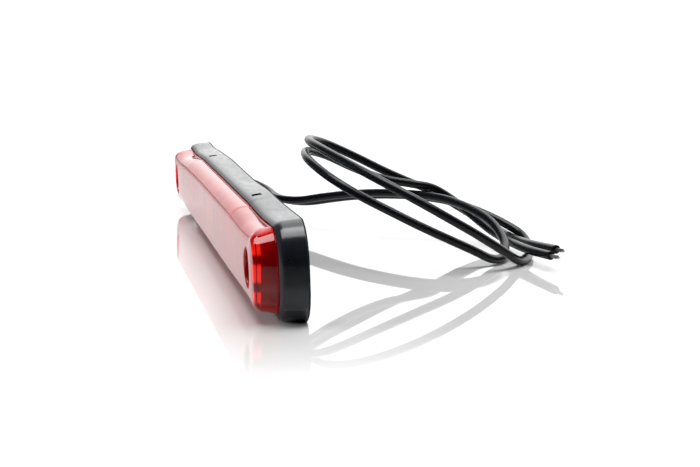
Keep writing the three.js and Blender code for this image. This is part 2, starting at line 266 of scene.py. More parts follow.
def length_along(path):
    """Running length of a polyline, starting at 0."""
    return np.r_[0.0, np.cumsum(np.linalg.norm(np.diff(path, axis=0), axis=1))]


def even_steps(path, count):
    """The same line with its points evenly spaced."""
    s = length_along(path)
    q = np.linspace(0, s[-1], count)
    return np.stack([np.interp(q, s, path[:, k]) for k in range(3)], axis=1)


def still_frame(path):
    """Two side directions at each point, turned as little as possible from point to point."""
    tangent = np.gradient(path, axis=0)
    tangent /= np.linalg.norm(tangent, axis=1)[:, None]
    side = np.zeros_like(path)
    side[0] = np.cross(tangent[0], (0, 0, 1))
    for i in range(1, len(path)):
        side[i] = side[i - 1] - np.dot(side[i - 1], tangent[i]) * tangent[i]
        side[i] /= np.linalg.norm(side[i])
    side[0] /= np.linalg.norm(side[0])
    return tangent, side, np.cross(tangent, side)


# %% Jackets
JACKET_SIDES, JACKET_RINGS = 28, 620
CUT_RADIUS = 0.18
HIDDEN_START = 1.2


def tube_grid(path, radius, sides=JACKET_SIDES):
    """Round section carried along a path: centre + radius (cos t side + sin t up)."""
    _, side, up = still_frame(path)
    t = np.linspace(0, 2 * math.pi, sides, endpoint=False)[None, :, None]
    ring = np.cos(t) * side[:, None] + np.sin(t) * up[:, None]
    return path[:, None] + np.broadcast_to(radius, len(path))[:, None, None] * ring


def jacket(name, route):
    """The insulation: a tube whose last ring turns in over a small radius to a flat cut face."""
    path = even_steps(smooth_route(route), JACKET_RINGS)
    forward = path[-1] - path[-2]
    forward /= np.linalg.norm(forward)
    back = path[0] - path[1]
    back /= np.linalg.norm(back)
    path = np.vstack([path[0] + HIDDEN_START * back, path])
    r = WIRE_DIAMETER / 2
    turn = np.radians([30, 60, 90])
    radius = np.r_[np.full(len(path), r), r - CUT_RADIUS * (1 - np.cos(turn))]
    path = np.vstack([path, path[-1] + CUT_RADIUS * np.sin(turn)[:, None] * forward])
    piece = lofted(name, tube_grid(path, radius) * MM)
    return piece, path * MM


wire_1, path_1 = jacket("wire_1_jacket", ROUTE_1)
wire_2, path_2 = jacket("wire_2_jacket", ROUTE_2)
for path in (path_1, path_2):
    print("wire length, mm:", round(length_along(path)[-1] / MM, 1))

# %% [markdown]
# ## The bare ends
#
# Each wire is stripped for a few millimetres. The tinned strands keep their twist and splay a
# little at the tip. Each strand is a thin tube on a helix whose radius opens towards the end.

# %% Twisted strands
STRAND_DIAMETER = 0.34
STRANDS_SHOWN = 7
STRAND_REACH, STRAND_TUCK = 5.0, 0.6
STRAND_TURNS = 0.55


def strand_bundle(name, route):
    """Seven helices about the wire's end: radius grows from tight to splayed along the length."""
    path = smooth_route(route)
    origin = path[-1]
    forward = path[-1] - path[-4]
    forward /= np.linalg.norm(forward)
    side = np.cross(forward, (0, 0, 1))
    side /= np.linalg.norm(side)
    up = np.cross(side, forward)
    t = np.linspace(0, 1, 26)
    grids = []
    for k in range(STRANDS_SHOWN):
        phase = 2 * math.pi * k / (STRANDS_SHOWN - 1)
        spread = 0.0 if k == STRANDS_SHOWN - 1 else 0.34 + 0.16 * t**2
        reach = STRAND_REACH - 0.35 * (k % 3)
        angle = phase + 2 * math.pi * STRAND_TURNS * t
        centre = (origin + (reach * t - STRAND_TUCK * (1 - t))[:, None] * forward
                  + (spread * np.cos(angle))[:, None] * side
                  + (spread * np.sin(angle))[:, None] * up)
        grids.append(tube_grid(centre, STRAND_DIAMETER / 2, 10))
    rows, cols, _ = grids[0].shape
    points = np.concatenate([g.reshape(-1, 3) for g in grids]) * MM
    one = grid_faces(rows, cols)
    quads = np.concatenate([one + k * rows * cols for k in range(STRANDS_SHOWN)])
    caps = []
    for k in range(STRANDS_SHOWN):
        first = k * rows * cols
        caps += [first + np.arange(cols)[::-1], first + (rows - 1) * cols + np.arange(cols)]
    return make_piece(name, points, quads, caps, 50)


strands_1 = strand_bundle("wire_1_strands", ROUTE_1)
strands_2 = strand_bundle("wire_2_strands", ROUTE_2)

for wire, strands, path, number in ((wire_1, strands_1, path_1, 1), (wire_2, strands_2, path_2, 2)):
    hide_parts(f"wire_{number}")
    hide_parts(f"conductor_{number}")
    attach(wire, "root")
    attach(strands, "root")

# %% [markdown]
# ## The lamp's own frame
#
# The tray's walls are drafted by 2 degrees so that it leaves its mould, and the lamp stands on
# one of those walls, so it leans forward by the same 2 degrees. Its shape is easiest to write
# upright: u along the lamp, v from the lens (negative) to the back (positive), w up from mid
# height. One function turns that into the standing lamp.

# %% Leaning frame
DRAFT = math.radians(2.0)
SEAM_Y, MIDDLE_Z = -2.577, 12.145
HALF_LENGTH, HALF_BACK, DEPTH = 119.0, 12.4, 7.1
WALL_CORNER, WALL_SWEEP = 10.0, 80.0
RECESS_LENGTH, RECESS_HALF, RECESS_CORNER = HALF_LENGTH - 1.5, 11.0, 9.0


def stand(u, v, w):
    """Upright lamp millimetres to leaning metres: rotate about X by the draft, then shift."""
    u, v, w = np.broadcast_arrays(u, v, w)
    y = v * math.cos(DRAFT) - w * math.sin(DRAFT) + SEAM_Y
    z = v * math.sin(DRAFT) + w * math.cos(DRAFT) + MIDDLE_Z
    return np.stack([u, y, z], axis=-1) * MM


def outline(a, b, r, sweep=90.0, arc_steps=18, side_steps=170):
    """Closed outline, half sizes a by b: four corner arcs of radius r joined by straight runs.
    With a sweep under 90 degrees the arcs meet the long sides at an edge."""
    s = math.radians(sweep)
    cx, cz = a - r, b - r * math.sin(s)
    up = np.linspace(0, s, arc_steps)
    corner = np.stack([cx + r * np.cos(up), cz + r * np.sin(up)], axis=1)
    end = corner[0]
    rise = np.linspace(0, end[1], 5)[:-1]
    flat = np.stack([np.full_like(rise, end[0]), rise], axis=1)
    run = np.linspace(corner[-1, 0], 0, side_steps // 2 + 1)[1:]
    top = np.stack([run, np.full_like(run, b)], axis=1)
    quarter = np.vstack([flat, corner, top])
    half = np.vstack([quarter, quarter[-2:0:-1] * (-1, 1), quarter[:1] * (-1, 1)])
    return np.vstack([half, half[-2:0:-1] * (1, -1)])


# %% [markdown]
# Thin walls this long don't stay straight: they sink and bulge by a few tenths of a millimetre
# as they cool, and the rim pulls in beyond the two snap points. That waviness is what tells a
# real moulding from a drawing, so it is a function of its own.

# %% Waviness of the long walls
BACK_LOBES = ((-92, 13, -0.50), (-36, 22, 0.42), (24, 9, -0.22), (54, 13, 0.34), (108, 10, 0.12))
RIM_PULL = ((88, 15, 0.48), (-90, 15, 0.80))
# Beyond the snap points the rim is pulled in, up to where the end's corner stiffens it.
SNAP_REACH, SNAP_PULL = 64.5, 0.16
STIFF_FROM, STIFF_OVER = 112.0, 14.0


def outward(points):
    """Outward unit normals of a closed outline, from each point's two neighbours."""
    along = np.roll(points, -1, axis=0) - np.roll(points, 1, axis=0)
    normal = np.stack([along[:, 1], -along[:, 0]], axis=1)
    return normal / np.linalg.norm(normal, axis=1)[:, None]


def lobes(u, table):
    """Sum of bell curves: height times exp(-(distance / width) squared)."""
    return sum(h * np.exp(-((u - c) / width) ** 2) for c, width, h in table)


def soft_step(x):
    """Rises smoothly from 0 to 1 as x goes from 0 to 1."""
    x = np.clip(x, 0, 1)
    return x * x * (3 - 2 * x)


def wall_shift(u, v):
    """How far a long wall stands out (+) or in (-) at u, blended from rim (v=0) to back."""
    back = lobes(u, BACK_LOBES)
    rim = -lobes(u, RIM_PULL)
    pulled = soft_step((np.abs(u) - SNAP_REACH) / 3.0)
    rim = rim - SNAP_PULL * pulled * soft_step((STIFF_FROM - np.abs(u)) / STIFF_OVER)
    blend = soft_step(v / DEPTH)
    return rim * (1 - blend) + back * blend


def place(points, v, half_height):
    """Outline points at depth v to leaning metres, with the wall's waviness on the long sides."""
    u, w = points[:, 0], points[:, 1]
    share = np.clip(np.abs(w) / half_height, 0, 1) ** 3
    ends = soft_step((HALF_LENGTH - 1.5 - np.abs(u)) / 7.0)
    w = w + np.sign(w) * share * ends * wall_shift(u, v)
    return stand(u, v, w)


# %% [markdown]
# ## The housing
#
# A tray moulded in black glass-filled nylon. Its section runs from the floor up the inner wall,
# over the ledge that carries the lens, round the rolled rim, down the drafted outer wall and
# round the back edge, and it is carried round the outline. Screw holes, wire outlet and the two
# narrow slots in the long walls are cut afterwards.

# %% Housing shell
RIM_ROLL_IN = 1.15
RIM_ROLL_SIDE, RIM_ROLL_END = 2.6, 1.3
RIM_START = math.radians(66)
BACK_EDGE = 0.04
WALL = outline(HALF_LENGTH, HALF_BACK, WALL_CORNER, WALL_SWEEP)
WALL_OUT = outward(WALL)


def housing_rings():
    """Rings of the section: up the recess to the rim, round the roll, down the outer wall."""
    inner = [(5.5, 1.0), (2.7, 1.0), (2.6, 0.9), (2.6, 0.06), (2.5, 0.0), (0.05, 0.0)]
    rings = [place(outline(RECESS_LENGTH - k, RECESS_HALF - k, RECESS_CORNER - k), v, RECESS_HALF)
             for v, k in inner]
    roll = RIM_ROLL_SIDE + (RIM_ROLL_END - RIM_ROLL_SIDE) * np.abs(WALL_OUT[:, 0])
    for t in np.linspace(RIM_START, 0, 11):
        v = roll * (1 - math.sin(t) / math.sin(RIM_START))
        k = RIM_ROLL_IN * (1 - math.cos(t)) / (1 - math.cos(RIM_START))
        rings.append(place(wall_outline(v, k), v, HALF_BACK))
    for share in np.linspace(0.1, 1, 8):
        v = roll + (DEPTH - BACK_EDGE - roll) * share
        rings.append(place(wall_outline(v), v, HALF_BACK))
    for t in np.radians([30, 60, 90]):
        v = DEPTH - BACK_EDGE * (1 - math.sin(t))
        rings.append(place(wall_outline(v, BACK_EDGE * (1 - math.cos(t))), v, HALF_BACK))
    return np.array(rings)


def wall_outline(v, inset=0.0):
    """The drafted outer wall at depth v: it grows by the draft towards the back."""
    k = np.broadcast_to((DEPTH - v) * math.tan(DRAFT) + inset, len(WALL))
    return WALL - WALL_OUT * k[:, None]


housing = lofted("housing_shell", housing_rings(), smooth_angle=28)

# %% [markdown]
# Holes are cut with Boolean modifiers whose cutters are lathed or boxed solids in the same
# leaning frame. Each modifier is applied at once and its cutter removed.

# %% Cutting and joining tools
def lathe(name, profile, u0, w0=0.0, sides=64):
    """Solid of revolution about the v axis through (u0, w0), from (radius, v) pairs."""
    r, v = np.array(profile, float).T
    t = np.linspace(0, 2 * math.pi, sides, endpoint=False)
    grid = stand(u0 + r[:, None] * np.cos(t), v[:, None], w0 + r[:, None] * np.sin(t))
    return lofted(name, grid)


def block(name, u, v, w):
    """Box from three (low, high) pairs in the upright frame."""
    corners = np.array([[(u[0], w[0]), (u[1], w[0]), (u[1], w[1]), (u[0], w[1])]])
    grid = np.concatenate([stand(corners[..., 0], depth, corners[..., 1]) for depth in v])
    return lofted(name, grid)


def stadium(a, b, steps=14):
    """Stadium outline with half sizes a by b, its ends full half circles."""
    t = np.linspace(-90, 90, steps)
    right = np.stack([a - b + b * np.cos(np.radians(t)), b * np.sin(np.radians(t))], axis=1)
    return np.vstack([right, -right])


def combine(piece, other, operation):
    """Applies one exact Boolean to piece and removes the other solid."""
    modifier = piece.modifiers.new("cut", "BOOLEAN")
    modifier.object = other
    modifier.operation = operation
    modifier.solver = "EXACT"
    graph = bpy.context.evaluated_depsgraph_get()
    result = bpy.data.meshes.new_from_object(piece.evaluated_get(graph))
    piece.modifiers.clear()
    old, piece.data = piece.data, result
    bpy.data.meshes.remove(old)
    bpy.data.objects.remove(other)


def resmooth(piece, angle):
    piece.data.shade_smooth()
    piece.data.set_sharp_from_angle(angle=math.radians(angle))


# %% Housing holes, bosses and slots
WELL_U = 101.8
OUTLET_U = -90.0
SLOT_U, SLOT_HALF = 58.0, 1.7
SLOT_V = (1.6, 4.2)
SLOT_W = (11.5, 13.6)
BOSS = [(6.15, 3.0), (6.3, 3.15), (6.3, 6.2)]
SCREW_HOLE = [(2.3, 2.0), (2.3, 6.7), (2.6, 7.3)]

for side in (-1, 1):
    u0, u_slot = side * WELL_U, side * SLOT_U
    combine(housing, lathe("boss", BOSS, u0), "UNION")
    combine(housing, lathe("hole", SCREW_HOLE, u0, sides=48), "DIFFERENCE")
    for wall in (-1, 1):
        heights = sorted(wall * w for w in SLOT_W)
        slot = block("slot", (u_slot - SLOT_HALF, u_slot + SLOT_HALF), SLOT_V, heights)
        combine(housing, slot, "DIFFERENCE")
outlet = stadium(4.6, 2.7)
combine(housing, lofted("outlet", np.array([stand(outlet[:, 0] + OUTLET_U, v, outlet[:, 1])
                                            for v in (5.0, 7.6)])), "DIFFERENCE")
resmooth(housing, 28)
print("housing faces:", len(housing.data.polygons))

# %% [markdown]
# ## The lens
#
# A cap moulded in clear red polycarbonate, about 1.7 mm thick. Its front is slightly crowned,
# the long edges roll over a radius of about 4 mm and the ends over half a millimetre, and a flange
# sits in the recess of the housing. Inside, fine vertical flutes spread the light of the LEDs. A
# screw well with its own wall goes through near each end.

# %% Lens shell
LENS_A, LENS_B, LENS_CORNER = 113.8, 10.4, 8.0
FRONT_V = -5.8
ROLL_SIDE, ROLL_END = 4.0, 0.45
LENS_WALL, LENS_CROWN = 1.7, 0.25
LENS_STEPS = 300
FLANGE_V = 0.5
END_DRAFT, LIP_GAP = 1.5, 0.42
FLUTE_PITCH, FLUTE_HEIGHT = 4.0, 0.15


def lens_place(points, v):
    """As place, with the cap's own warp: the ends of its front stand forward by 0.7 and 0.1 mm."""
    u, w = points.T
    warp = 0.7 * soft_step((-u - 10) / 90) + 0.1 * soft_step((u - 60) / 50)
    forward = warp * soft_step(-v / 3) * soft_step((w + 10) / 6)
    return place(points, v - forward, LENS_B)


def lens_skin(inset, start):
    """Rings from the flange up the wall, round the roll and across the crowned front. The roll
    is wide along the sides and tight across the ends, which also lean in by their draft."""
    front = FRONT_V + inset
    wall = outline(LENS_A - inset, LENS_B - inset, LENS_CORNER - inset, side_steps=LENS_STEPS)
    out = outward(wall)
    end = np.abs(out[:, 0])
    roll = np.maximum(ROLL_SIDE + (ROLL_END - ROLL_SIDE) * soft_step(end) - 0.6 * inset, 0.35)
    knee = front + LENS_CROWN + roll
    rings = []
    if inset == 0:
        lip = outline(RECESS_LENGTH - LIP_GAP, RECESS_HALF - LIP_GAP, RECESS_CORNER - LIP_GAP,
                      side_steps=LENS_STEPS)
        rings += [place(lip, start, RECESS_HALF), place(lip, -0.16, RECESS_HALF)]
    for share in (0.17, 0.3, 0.5, 0.7, 0.9):
        v = start + (knee - start) * share
        grow = END_DRAFT * (1 - share) * end**0.5
        if share < 0.2 and inset == 0:
            v = np.full(len(wall), -0.2)
        rings.append(lens_place(wall + out * grow[:, None], v))
    for t in np.radians(np.linspace(0, 90, 14)):
        v = front + LENS_CROWN + roll * (1 - math.sin(t))
        rings.append(lens_place(wall - out * (roll * (1 - math.cos(t)))[:, None], v))
    edge = wall - out * roll[:, None]
    half = edge[:, 1].max()
    for share in (0.9, 0.8, 0.7, 0.6, 0.45, 0.3, 0.15, 0.01):
        shrink = 1 - half * (1 - share) * 0.5 / edge[:, 0].max()
        rings.append(lens_place(edge * (shrink, share), front + LENS_CROWN * share**2))
    return np.array(rings)


def fluted(skin):
    """Moves the inner front in and out by a cosine along the lamp, one ridge each pitch."""
    u = skin[..., 0] / MM
    y = skin[..., 1] / MM
    flat = soft_step((-(y - SEAM_Y) - 3.2) / 0.8) * soft_step((96 - np.abs(u)) / 3)
    wave = FLUTE_HEIGHT * np.cos(2 * math.pi * u / FLUTE_PITCH) * flat
    skin = skin.copy()
    skin[..., 1] += wave * MM
    return skin


def flange_rings():
    """The flange: a thin skirt from the lens wall out into the recess and round its back."""
    def ring(inset, v):
        rim = outline(RECESS_LENGTH - inset, RECESS_HALF - inset, RECESS_CORNER - inset,
                      side_steps=LENS_STEPS)
        return place(rim, v, RECESS_HALF)
    return np.array([ring(0.3, FLANGE_V + 0.02), ring(0.08, FLANGE_V + 0.1), ring(0.06, 1.3)])


outer = lens_skin(0.0, FLANGE_V)
inner = fluted(lens_skin(LENS_WALL, 1.3))
lens = lofted("lens_cap", np.concatenate([inner[::-1], flange_rings()[::-1], outer]), 32)

# %% Screw wells
for side in (-1, 1):
    u0 = side * WELL_U
    tube = lathe("well_wall", [(6.25, FRONT_V + 0.7), (6.25, 2.7)], u0, sides=96)
    combine(lens, tube, "UNION")
    mouth = [(5.6, FRONT_V - 1.0), (5.32, FRONT_V + 0.02), (5.14, FRONT_V + 0.12),
             (5.02, FRONT_V + 0.3), (4.98, FRONT_V + 0.55), (4.88, 3.2)]
    combine(lens, lathe("well", mouth, u0, sides=96), "DIFFERENCE")
resmooth(lens, 32)
print("lens faces:", len(lens.data.polygons))

# %% [markdown]
# ## The outlet bush
#
# A small rubber bush is pulled through the slot in the back. Its nose tapers like a strain
# relief and is ringed, so that it bends with the wires. Stadium rings are stacked along v.

# %% Outlet bush
def bush_rings():
    """Stadium rings: lip inside, neck in the slot, rounded flange outside and a ribbed nose."""
    profile = [(3.9, 5.0, 3.3), (4.0, 5.2, 3.5), (5.1, 5.2, 3.5), (5.2, 5.0, 3.3), (5.2, 4.3, 2.4),
               (7.15, 4.3, 2.4), (7.15, 5.1, 3.4), (7.3, 5.35, 3.6), (7.9, 5.35, 3.6),
               (8.1, 5.2, 3.45), (8.2, 4.9, 3.15)]
    for start in (8.35, 9.3, 10.25):
        k = (start - 8.35) * 0.26
        profile += [(start, 4.75 - k, 2.75 - k), (start + 0.15, 4.85 - k, 2.9 - k),
                    (start + 0.5, 4.85 - k, 2.9 - k), (start + 0.65, 4.7 - k, 2.7 - k)]
    profile += [(11.08, 4.15, 2.3), (11.12, 4.0, 2.15)]
    return np.array([stand(s[:, 0] + OUTLET_U, v, s[:, 1])
                     for v, s in ((v, stadium(a, b, 16)) for v, a, b in profile)])


bush = lofted("outlet_bush", bush_rings(), 40)

# %% Place the new pieces on the frame
for piece, node, slot_name in ((housing, "housing", "housing_plastic"),
                               (lens, "lens", "lens_plastic"),
                               (bush, "wire_grommet", "bush_rubber")):
    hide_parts(node)
    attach(piece, "root")

# %% [markdown]
# ## Finishes
#
# Each finish is named for the real material, and its pattern is sized in millimetres.

# %% Moulded black nylon
def moulded_nylon():
    """Glass-filled nylon: near black, soft sheen, fine grain, faint scuffs. The outer wall is
    smoother than the rolled rim and the parting edge at the back, which stay matt."""
    material, tree, shader = new_material("moulded black nylon", {
        "Base Color": srgb("#1D2026"), "IOR": 1.5, "Roughness": 0.2})
    where = object_coords(tree)
    cloud = noise(tree, where, 9.0, 4.0)
    grain = noise(tree, where, 0.35, 2.0)
    scuff = noise(tree, where, 1.6, 6.0, (0.25, 1, 1))
    colour = add_node(tree, "ShaderNodeValToRGB", links={"Fac": cloud},
                      stops=[(0.35, srgb("#1A1D22")), (0.65, srgb("#22252B"))])
    tree.links.new(colour.outputs["Color"], shader.inputs["Base Color"])
    sheen = add_node(tree, "ShaderNodeValToRGB", links={"Fac": scuff},
                     stops=[(0.42, grey(0.16)), (0.66, grey(0.22))])
    depth = add_node(tree, "ShaderNodeVectorMath", settings={"operation": "DOT_PRODUCT"},
                     links={0: where}, values={1: (0.0, math.cos(DRAFT), math.sin(DRAFT))})
    shift = SEAM_Y * math.cos(DRAFT) + MIDDLE_Z * math.sin(DRAFT)
    back_strip, rim_strip = (6.6, 6.8, 1.0), (2.4, 0.3, 0.34)
    matt = sheen.outputs["Color"]
    for start, stop, top in (back_strip, rim_strip):
        edge = add_node(tree, "ShaderNodeMapRange", links={"Value": depth.outputs["Value"]},
                        values={"From Min": (start + shift) * MM, "From Max": (stop + shift) * MM,
                                "To Min": 0.0, "To Max": top})
        matt = add_node(tree, "ShaderNodeMath", settings=LARGER,
                        links={0: matt, 1: edge.outputs["Result"]}).outputs["Value"]
    tree.links.new(matt, shader.inputs["Roughness"])
    fine = add_node(tree, "ShaderNodeBump", links={"Height": grain},
                    values={"Distance": 0.0012 * MM})
    broad = add_node(tree, "ShaderNodeBump", values={"Distance": 0.003 * MM},
                     links={"Height": cloud, "Normal": fine.outputs["Normal"]})
    tree.links.new(broad.outputs["Normal"], shader.inputs["Normal"])
    return material


# %% [markdown]
# Light from the surroundings enters the front wall of the lens, runs along it and comes out at its
# ends, broken into bars by the corner of the mould. Tracing that would take very many rays, so a
# painted red glow, laid out in bars on the end walls over a painted darker red, stands in for it.

# %% Clear red polycarbonate
# Painted light on the lens ends: the end zone, the strength of the painted glow and the layout of
# its bars.
PAINTED_END_ZONE = (0.1115, 0.1130)
PAINTED_BAR_GLOW = 0.65
UPRIGHT_SPAN, UPRIGHT_EDGES = (-9.0, -5.8), (0.06, 0.44, 0.52, 0.80)
STACKED_SPAN, STACKED_EDGES = (0.0, 24.0), (0.21, 0.33, 0.43, 0.61, 0.70, 0.84)


def red_polycarbonate_painted_glow():
    """Polished, dyed in the mass: clear, glossy, deep red where light has crossed much of it.
    The end walls carry painted glowing bars on a painted darker red, for light carried along the
    front wall."""
    material, tree, shader = new_material("clear red polycarbonate", {
        "Base Color": srgb("#E0101A"), "IOR": 1.55, "Roughness": 0.03,
        "Transmission Weight": 0.66})
    where = object_coords(tree)
    flow = noise(tree, where, 14.0, 2.0, (0.3, 1, 1))
    streak = noise(tree, where, 5.0, 3.0, (1, 0.2, 0.12))
    tint = add_node(tree, "ShaderNodeValToRGB", links={"Fac": streak},
                    stops=[(0.35, srgb("#DC0A14")), (0.65, srgb("#FF242C"))])
    axes = add_node(tree, "ShaderNodeSeparateXYZ", links={"Vector": where})
    reach = add_node(tree, "ShaderNodeMath", settings={"operation": "ABSOLUTE"},
                     links={0: axes.outputs["X"]})
    painted_end = add_node(tree, "ShaderNodeMapRange", links={"Value": reach.outputs["Value"]},
                      values={"From Min": PAINTED_END_ZONE[0], "From Max": PAINTED_END_ZONE[1]})
    # Painted glow: bars across the end walls, given out as red emission.
    upright = steps(tree, axes.outputs["Y"], *UPRIGHT_SPAN, UPRIGHT_EDGES)
    stacked = steps(tree, axes.outputs["Z"], *STACKED_SPAN, STACKED_EDGES)
    bars = add_node(tree, "ShaderNodeMath", settings=MULTIPLY, links={0: upright, 1: stacked})
    painted_bar_mask = add_node(tree, "ShaderNodeMath", settings=MULTIPLY,
                     links={0: bars.outputs["Value"], 1: painted_end.outputs["Result"]})
    glow = add_node(tree, "ShaderNodeMath", settings=MULTIPLY,
                    values={1: PAINTED_BAR_GLOW}, links={0: painted_bar_mask.outputs["Value"]})
    tree.links.new(glow.outputs["Value"], shader.inputs["Emission Strength"])
    shader.inputs["Emission Color"].default_value = srgb("#FF2616")
    # Painted shade: the end walls take a darker red base colour, under and between the painted bars.
    both = add_node(tree, "ShaderNodeMix", settings={"data_type": "RGBA"},
                    values={7: srgb("#B8060E")})
    for socket, source in ((0, painted_end.outputs["Result"]), (6, tint.outputs["Color"])):
        tree.links.new(source, both.inputs[socket])
    tree.links.new(both.outputs[2], shader.inputs["Base Color"])
    ripple = add_node(tree, "ShaderNodeBump", links={"Height": flow},
                      values={"Distance": 0.02 * MM})
    tree.links.new(ripple.outputs["Normal"], shader.inputs["Normal"])
    return material


# %% Soft and small materials
def butyl_sealant():
    """Bead of sealant, dull and dark; its dark red tone is painted, for red light through the lens
    on it.
    """
    material, tree, shader = new_material("butyl sealant", {"Roughness": 0.7})
    lump = noise(tree, object_coords(tree), 1.2, 3.0)
    # Painted light: the dark red tones stand in for red light coming through the lens.
    tones = add_node(tree, "ShaderNodeValToRGB", links={"Fac": lump},
                     stops=[(0.3, srgb("#1C0708")), (0.7, srgb("#320C0F"))])
    tree.links.new(tones.outputs["Color"], shader.inputs["Base Color"])
    relief = add_node(tree, "ShaderNodeBump", links={"Height": lump},
                      values={"Distance": 0.1 * MM})
    tree.links.new(relief.outputs["Normal"], shader.inputs["Normal"])
    return material


def moulded_rubber():
    """EPDM rubber: black, matt, with a faint bloom."""
    material, tree, shader = new_material("moulded EPDM rubber", {"Roughness": 0.75})
    bloom = noise(tree, object_coords(tree), 1.5, 4.0)
    tones = add_node(tree, "ShaderNodeValToRGB", links={"Fac": bloom},
                     stops=[(0.35, srgb("#141517")), (0.7, srgb("#26272A"))])
    tree.links.new(tones.outputs["Color"], shader.inputs["Base Color"])
    relief = add_node(tree, "ShaderNodeBump", links={"Height": bloom},
                      values={"Distance": 0.02 * MM})
    tree.links.new(relief.outputs["Normal"], shader.inputs["Normal"])
    return material


def wire_pvc():
    """Extruded PVC: smooth with a soft gloss and a very faint even mottle."""
    material, tree, shader = new_material("extruded black PVC", {
        "Base Color": srgb("#17191E"), "IOR": 1.38, "Roughness": 0.32})
    where = object_coords(tree)
    skin = noise(tree, where, 0.9, 3.0)
    tones = add_node(tree, "ShaderNodeValToRGB", links={"Fac": skin},
                     stops=[(0.3, srgb("#0E0F12")), (0.7, srgb("#15171B"))])
    tree.links.new(tones.outputs["Color"], shader.inputs["Base Color"])
    gloss = add_node(tree, "ShaderNodeValToRGB", links={"Fac": skin},
                     stops=[(0.3, grey(0.20)), (0.7, grey(0.28))])
    tree.links.new(gloss.outputs["Color"], shader.inputs["Roughness"])
    relief = add_node(tree, "ShaderNodeBump", links={"Height": skin},
                      values={"Distance": 0.02 * MM})
    tree.links.new(relief.outputs["Normal"], shader.inputs["Normal"])
    return material


def tinned_strand():
    """Tin over drawn copper: pale grey metal, a little dull, hints of copper between."""
    material, tree, shader = new_material("tinned copper strand", {
        "Metallic": 1.0, "Roughness": 0.32})
    wear = noise(tree, object_coords(tree), 0.5, 4.0)
    tones = add_node(tree, "ShaderNodeValToRGB", links={"Fac": wear},
                     stops=[(0.3, srgb("#A9A29A")), (0.6, srgb("#D6D4D0"))])
    tree.links.new(tones.outputs["Color"], shader.inputs["Base Color"])
    return material


def solder_mask():
    """White solder mask on a laminate board, with the weave just showing through."""
    material, tree, shader = new_material("white solder mask", {"Roughness": 0.4})
    weave = noise(tree, object_coords(tree), 0.6, 2.0)
    tones = add_node(tree, "ShaderNodeValToRGB", links={"Fac": weave},
                     stops=[(0.3, srgb("#E4E2DA")), (0.7, srgb("#F2F0EA"))])
    tree.links.new(tones.outputs["Color"], shader.inputs["Base Color"])
    return material


def small_part(name, dark, light, roughness, metallic=0.0):
    """A moulded or fired component body: two close tones in a fine speckle."""
    material, tree, shader = new_material(name, {"Roughness": roughness, "Metallic": metallic})
    speckle = noise(tree, object_coords(tree), 0.4, 3.0)
    tones = add_node(tree, "ShaderNodeValToRGB", links={"Fac": speckle},
                     stops=[(0.3, srgb(dark)), (0.7, srgb(light))])
    tree.links.new(tones.outputs["Color"], shader.inputs["Base Color"])
    relief = add_node(tree, "ShaderNodeBump", links={"Height": speckle},
                      values={"Distance": 0.01 * MM})
    tree.links.new(relief.outputs["Normal"], shader.inputs["Normal"])
    return material


# %% Give every piece its finish
nylon = moulded_nylon()
jacket_pvc = wire_pvc()
strand_metal = tinned_strand()
rubber = moulded_rubber()
finish_with(housing, nylon)
finish_with(lens, red_polycarbonate_painted_glow())
finish_with(bush, rubber)
for wire in (wire_1, wire_2):
    finish_with(wire, jacket_pvc)
for strands in (strands_1, strands_2):
    finish_with(strands, strand_metal)

black_epoxy = small_part("moulded black epoxy", "#121316", "#1E1F23", 0.5)
led_package = small_part("white LED package", "#EFEBDD", "#FBF8EF", 0.35)
node_finish = {
    "lens_seal": butyl_sealant(),
    "circuit_board": solder_mask(),
    "potting_compound": small_part("cast black resin", "#0D0E10", "#17181B", 0.25),
    "filter_capacitor": small_part("fired ceramic", "#9A7B52", "#B4946A", 0.5),
    "reverse_diode": black_epoxy,
    "current_regulator": black_epoxy,
    "lead_in_1": jacket_pvc,
    "lead_in_2": jacket_pvc,
}
bright_solder = small_part("bright solder", "#A9ABAE", "#D0D2D4", 0.25, 1.0)
for number in (1, 2):
    node_finish[f"solder_joint_{number}"] = bright_solder
for number in range(1, 5):
    node_finish[f"resistor_{number}"] = black_epoxy
for number in range(1, 9):
    node_finish[f"led_{number}"] = led_package
for name, material in node_finish.items():
    finish_with(nodes[name], material)
print("finished nodes:", len(node_finish))

# %% [markdown]
# ## The surface, the light and the surroundings
#
# The lamp stands on a sheet of glossy white acrylic. Acrylic is a white body under a clear skin:
# seen at a low angle the skin mirrors the bright surroundings, so the lamp and its wires show in
# it. A large soft light hangs overhead. The surroundings glow beyond the lamp's far end and on its
# back side, and are dark elsewhere, so that the polished parts get both bright and dark to mirror.

# %% Floor
FLOOR_REACH, FLOOR_Z = 6, -0.00004

floor_mesh = bpy.data.meshes.new("floor")
floor_mesh.from_pydata([(x * FLOOR_REACH, y * FLOOR_REACH, FLOOR_Z)
                        for x, y in ((-1, -1), (1, -1), (1, 1), (-1, 1))], [], [(0, 1, 2, 3)])
floor = bpy.data.objects.new("floor", floor_mesh)
bpy.context.scene.collection.objects.link(floor)


